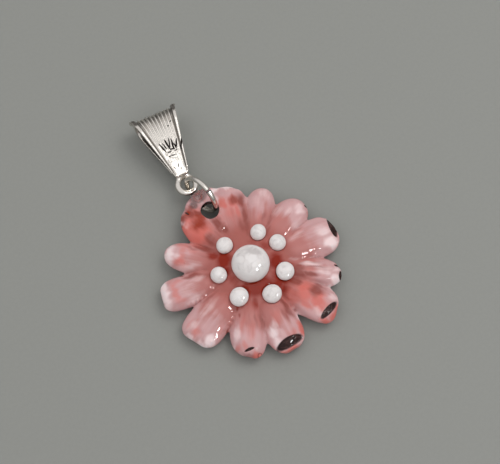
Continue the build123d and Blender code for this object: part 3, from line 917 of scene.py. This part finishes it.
class PENDANT_OT_bail(bpy.types.Operator):
    """Finish the cast bail: uneven ribs that run out towards the neck, rolled borders and a soldered ring"""

    bl_idname = "pendant.bail"
    bl_label = "Bail"

    def execute(self, context):
        metal = context.scene.pendant_metal
        mesh = even_copy("bail", metal.bail_face_size)
        skin = Surface(mesh)
        skin.points = skin.soften(skin.points, rounds=2)
        low, high = (np.array(corner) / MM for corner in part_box("bail"))
        out_x, out_y = unit(BAIL_TURN)
        offset = skin.points - np.array(metal.bail_place) / MM
        along = offset[:, 0] * out_x + offset[:, 1] * out_y
        across = offset[:, 0] * out_y - offset[:, 1] * out_x
        height = offset[:, 2]
        (neck, neck_half), (fold, fold_half) = BAIL_NECK, BAIL_FOLD
        half = neck_half + (fold_half - neck_half) * np.clip((along - neck) / (fold - neck), 0, 1.1)
        share = across / half
        aside = np.abs(share)

        # Where the ring is soldered to the neck, the crease is filled and smoothed
        joint = smooth_step(0.7, 1.2, along) * (1 - smooth_step(2.5, 3.2, along))
        skin.fill(rounds=80, share=joint)
        skin.points += joint[:, None] * (skin.soften(skin.points, rounds=26) - skin.points)

        # The face is the fold's outside. The field of ribs lies on it, and its ribs are worn towards the neck
        near_fold = smooth_step(fold - 5.8, fold - 1.8, along)
        normals = skin.normals()
        forward = normals[:, 0] * out_x + normals[:, 1] * out_y
        outward = normals[:, 2] * height + np.maximum(along - FOLD_CENTRE, 0) * forward
        face = smooth_step(0.0, 0.3, outward) * smooth_step(-0.6, 0.4, height) * (along > neck)
        place = (share + RIB_FIELD) * RIB_COUNT / (2 * RIB_FIELD)
        groove = 0.5 + 0.5 * np.cos(2 * math.pi * place)
        uneven = grain(np.stack([along * 0.55, np.floor(place), along * 0], axis=1), 1.0, 41)
        pits = grain(np.stack([across * 2.2, along * 0.9, height], axis=1), 1.0, 43)
        field = (1 - smooth_step(RIB_FIELD - 0.02, RIB_FIELD + 0.03, aside)) * face
        worn = field * (1 - 0.7 * near_fold) * (1 - joint)
        skin.points += worn[:, None] * (skin.soften(skin.points, rounds=30) - skin.points)
        normals = skin.normals()
        ribs = field * smooth_step(2.4, 5.0, along) * (0.35 + 0.65 * near_fold)
        inner = smooth_step(0.3, 1.0, -outward) * smooth_step(2.4, 3.4, along)
        inner *= 1 - smooth_step(0.84, 0.93, aside)
        ring = np.hypot(along, across)
        cast = smooth_step(0.2, 1.3, -across) * (1 - smooth_step(1.3, 1.8, ring))
        cast *= 1 - smooth_step(0.6, 1.2, along)
        gutter = smooth_step(RIB_FIELD, 0.86, aside) * (1 - smooth_step(0.88, 0.93, aside)) * face
        corner = smooth_step(0.84, 0.95, aside) * smooth_step(fold - 1.5, fold - 0.7, along) * face
        swell = -RIB_DEPTH * groove * ribs * (1 + uneven) + RIB_DEPTH * uneven * ribs
        swell = swell - GUTTER_DEPTH * gutter + CAST_SWELL * cast
        swell += CORNER_SWELL * corner + PIT_DEPTH * pits
        skin.points += normals * swell[:, None]
        skin.points = skin.soften(skin.points, rounds=1)
        skin.points = np.clip(skin.points, low, high)
        skin.place()

        # Tarnish and painted shade lie in the hollows, along the borders and in the rib grooves near the
        # fold; inside the fold is painted shade, and where the ribs turn down a painted dark reflection, with
        # painted bead highlights on the crests at the fold. The corners by the fold are darker too
        hollow = skin.soften(skin.hollow(rounds=24, scale=0.10), rounds=1)
        bead_highlights = 0.5 * (1 - groove) * smooth_step(fold - 1.0, fold - 0.5, along)
        turned = smooth_step(fold - 2.6, fold - 1.3, along + 0.3 * (groove - 0.5)) * face * (1 - bead_highlights)
        dents = grain(np.stack([across * 1.4, along * 0.5, 0 * along], axis=1), 1.0, 47)
        bright = smooth_step(3.6, 7.0, along) * (1 - turned)
        hollow *= (1 - 0.45 * field) * (1 - 0.3 * bright) * (1 - 0.8 * joint)
        streaks = 0.5 * groove * field * near_fold * (1 - turned)
        knob = smooth_step(0.84, 0.90, aside) * smooth_step(fold - 2.6, fold - 1.4, along) * face
        dark = 0.25 * dents + 0.9 * gutter + 0.5 * turned + 0.9 * knob + 1.2 * inner + streaks
        skin.write("hollow", hollow + dark)
        # Painted dark reflection: black streaks between the ribs
        skin.write("stain_and_reflection", painted(along, across, DARK_REFLECTIONS) * face)
        new_piece("ribbed_bail", mesh, silver("bail_silver", metal, 0.8), "bail")
        return {"FINISHED"}


class PENDANT_OT_stage(bpy.types.Operator):
    """Set the floor, the soft lights and the camera"""

    bl_idname = "pendant.stage"
    bl_label = "Stage"

    def execute(self, context):
        stage = context.scene.pendant_stage
        aim = Vector(stage.aim)
        ahead = Vector((-math.sin(stage.azimuth), math.cos(stage.azimuth), 0))
        right = Vector((ahead.y, -ahead.x, 0))
        up = Vector((0, 0, 1))

        shape = bmesh.new()
        bmesh.ops.create_grid(shape, x_segments=1, y_segments=1, size=2.0)
        floor = bpy.data.objects.new("floor", mesh_of(shape, "floor"))
        context.scene.collection.objects.link(floor)
        material, paint = new_material("floor")
        grains = paint.noise(paint.object_place(), 1500.0, 4.0, 0.6)
        tone = paint.mixed(opaque(stage.floor), opaque(tuple(0.9 * c for c in stage.floor)), grains)
        body = paint.node("ShaderNodeBsdfPrincipled", {}, {"Base Color": tone, "Roughness": 0.7})
        finish(paint, body)
        floor.data.materials.append(material)

        for name, (aside, forth, over), size, power, colour, lights, mirrored in LIGHTS:
            place = right * aside + ahead * forth + up * over
            lamp = bpy.data.lights.new(name, "AREA")
            lamp.shape = "RECTANGLE"
            lamp.size, lamp.size_y = size
            lamp.energy = power
            lamp.color = colour
            light = bpy.data.objects.new(name, lamp)
            light.location = aim + place
            light.rotation_mode = "QUATERNION"
            light.rotation_quaternion = (-place).to_track_quat("-Z", "Y")
            light.visible_diffuse = lights
            light.visible_glossy = mirrored
            context.scene.collection.objects.link(light)

        world = bpy.data.worlds.new("soft_room")
        context.scene.world = world
        world.use_nodes = True
        world.node_tree.nodes.clear()
        sky = Shade(world.node_tree)
        direction = sky.node("ShaderNodeTexCoord", output="Generated")
        height = sky.node("ShaderNodeSeparateXYZ", {}, {0: direction}, output=2)
        tone = sky.mixed(GLOW_LOW, GLOW_HIGH, height.step(-0.05, 0.75))
        glow = sky.node("ShaderNodeBackground", {}, {"Color": tone, "Strength": GLOW_STRENGTH})
        finish(sky, glow, "ShaderNodeOutputWorld")

        lens = bpy.data.cameras.new("camera")
        lens.lens = 85.0
        lens.sensor_width = 36.0
        lens.clip_start = 0.01
        lens.clip_end = 20.0
        camera = bpy.data.objects.new("camera", lens)
        back = up * math.sin(stage.elevation) - ahead * math.cos(stage.elevation)
        camera.location = aim + back * stage.distance
        camera.rotation_mode = "QUATERNION"
        camera.rotation_quaternion = Matrix((right, back.cross(right), back)).transposed().to_quaternion()
        context.scene.collection.objects.link(camera)
        context.scene.camera = camera
        context.scene.view_settings.view_transform = "Standard"
        return {"FINISHED"}


class PENDANT_PT_panel(bpy.types.Panel):
    """Lists what the pendant is dressed with"""

    bl_idname = "PENDANT_PT_panel"
    bl_label = "Glass flower pendant"
    bl_space_type = "VIEW_3D"
    bl_region_type = "UI"
    bl_category = "Pendant"

    def draw(self, context):
        for name, _, operators in PARTS:
            box = self.layout.box()
            settings = getattr(context.scene, name)
            for prop in settings.__annotations__:
                box.prop(settings, prop)
            for operator in operators:
                box.operator(operator)


# The settings on the scene, and the operators that use them
PARTS = (
    ("pendant_glass", GlassSettings, ("pendant.flower",)),
    ("pendant_white", WhiteSettings, ("pendant.white",)),
    ("pendant_metal", MetalSettings, ("pendant.jump_ring", "pendant.bail")),
    ("pendant_stage", StageSettings, ("pendant.stage",)),
)
CLASSES = (
    *(settings for _, settings, _ in PARTS),
    PENDANT_OT_flower,
    PENDANT_OT_white,
    PENDANT_OT_jump_ring,
    PENDANT_OT_bail,
    PENDANT_OT_stage,
    PENDANT_PT_panel,
)


def register():
    for made in CLASSES:
        bpy.utils.register_class(made)
    for name, settings, _ in PARTS:
        setattr(bpy.types.Scene, name, bpy.props.PointerProperty(type=settings))


def unregister():
    for name, _, _ in PARTS:
        delattr(bpy.types.Scene, name)
    for made in reversed(CLASSES):
        bpy.utils.unregister_class(made)


def main():
    register()
    bpy.ops.pendant.flower()
    bpy.ops.pendant.white()
    bpy.ops.pendant.jump_ring()
    bpy.ops.pendant.bail()
    bpy.ops.pendant.stage()


if __name__ == "__main__":
    main()
